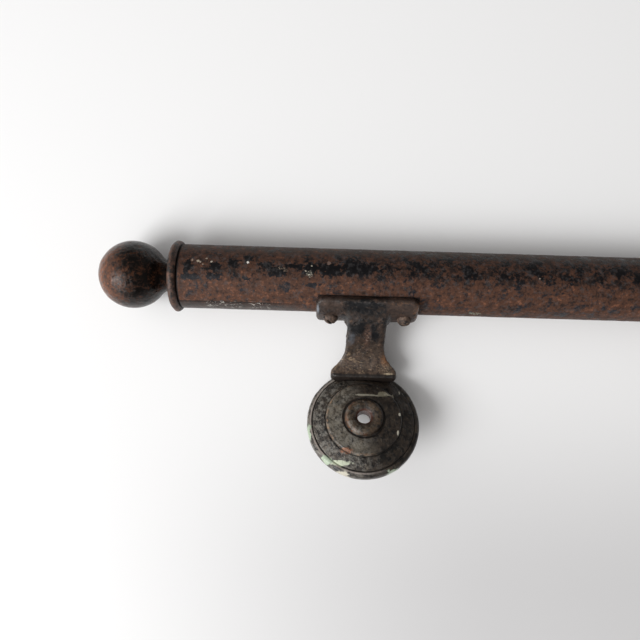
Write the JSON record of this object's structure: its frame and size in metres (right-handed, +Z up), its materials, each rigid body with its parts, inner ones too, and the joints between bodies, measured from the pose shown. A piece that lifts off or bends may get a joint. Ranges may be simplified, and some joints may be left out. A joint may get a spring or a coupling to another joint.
{
  "type": "wall handrail",
  "caption": "Straight iron tube handrail with screw-in ball finials and collars, held off the wall by cast brackets with domed round wall plates.",
  "frame": {"origin": "on the wall plane, midway between the two fixing holes", "axes": "+X along the rail towards the right-hand finial, +Y into the wall, +Z up"},
  "size_m": [1.025, 0.0741, 0.141],
  "materials": {
    "rusty_tube": "black paint worn through to red-brown rust",
    "finial_iron": "dark iron, rusted on one side",
    "collar_iron": "brown iron with a worn edge",
    "arm_iron": "black paint over brown rust",
    "plate_iron": "green-black with rusty edges and old pale green paint",
    "screw_steel": "rusted",
    "inner_steel": "dull, brown stained"
  },
  "bodies": {
    "rail": {"rail_tube": "rusty_tube", "left_end_plug": "inner_steel", "left_bracket_arm": "arm_iron", "left_wall_plate": "plate_iron", "left_plate_screws": "inner_steel", "left_saddle_screw_outer": "screw_steel", "left_saddle_screw_inner": "screw_steel", "right_end_plug": "inner_steel", "right_bracket_arm": "arm_iron", "right_wall_plate": "plate_iron", "right_plate_screws": "inner_steel", "right_saddle_screw_outer": "screw_steel", "right_saddle_screw_inner": "screw_steel"},
    "left_collar": {"left_end_collar": "collar_iron"},
    "left_finial": {"left_ball_finial": "finial_iron", "left_finial_stud": "inner_steel"},
    "right_collar": {"right_end_collar": "collar_iron"},
    "right_finial": {"right_ball_finial": "finial_iron", "right_finial_stud": "inner_steel"}
  },
  "joints": [
    {"name": "left_finial_travel", "type": "slide", "parent": "rail", "child": "left_collar", "axis": [-1, 0, 0], "range_m": [0, 0.0147]},
    {"name": "left_finial_turn", "type": "hinge", "parent": "left_collar", "child": "left_finial", "pos_m": [-0.4572, -0.0508, 0.0805], "axis": [-1, 0, 0], "range_deg": [0, 2700]},
    {"name": "right_finial_travel", "type": "slide", "parent": "rail", "child": "right_collar", "axis": [1, 0, 0], "range_m": [0, 0.0147]},
    {"name": "right_finial_turn", "type": "hinge", "parent": "right_collar", "child": "right_finial", "pos_m": [0.4572, -0.0508, 0.0805], "axis": [1, 0, 0], "range_deg": [0, 2700]}
  ],
  "couplings": [
    {"joint": "left_finial_travel", "follows": "left_finial_turn", "m_per_rad": 0.00031096},
    {"joint": "right_finial_travel", "follows": "right_finial_turn", "m_per_rad": 0.00031096}
  ]
}
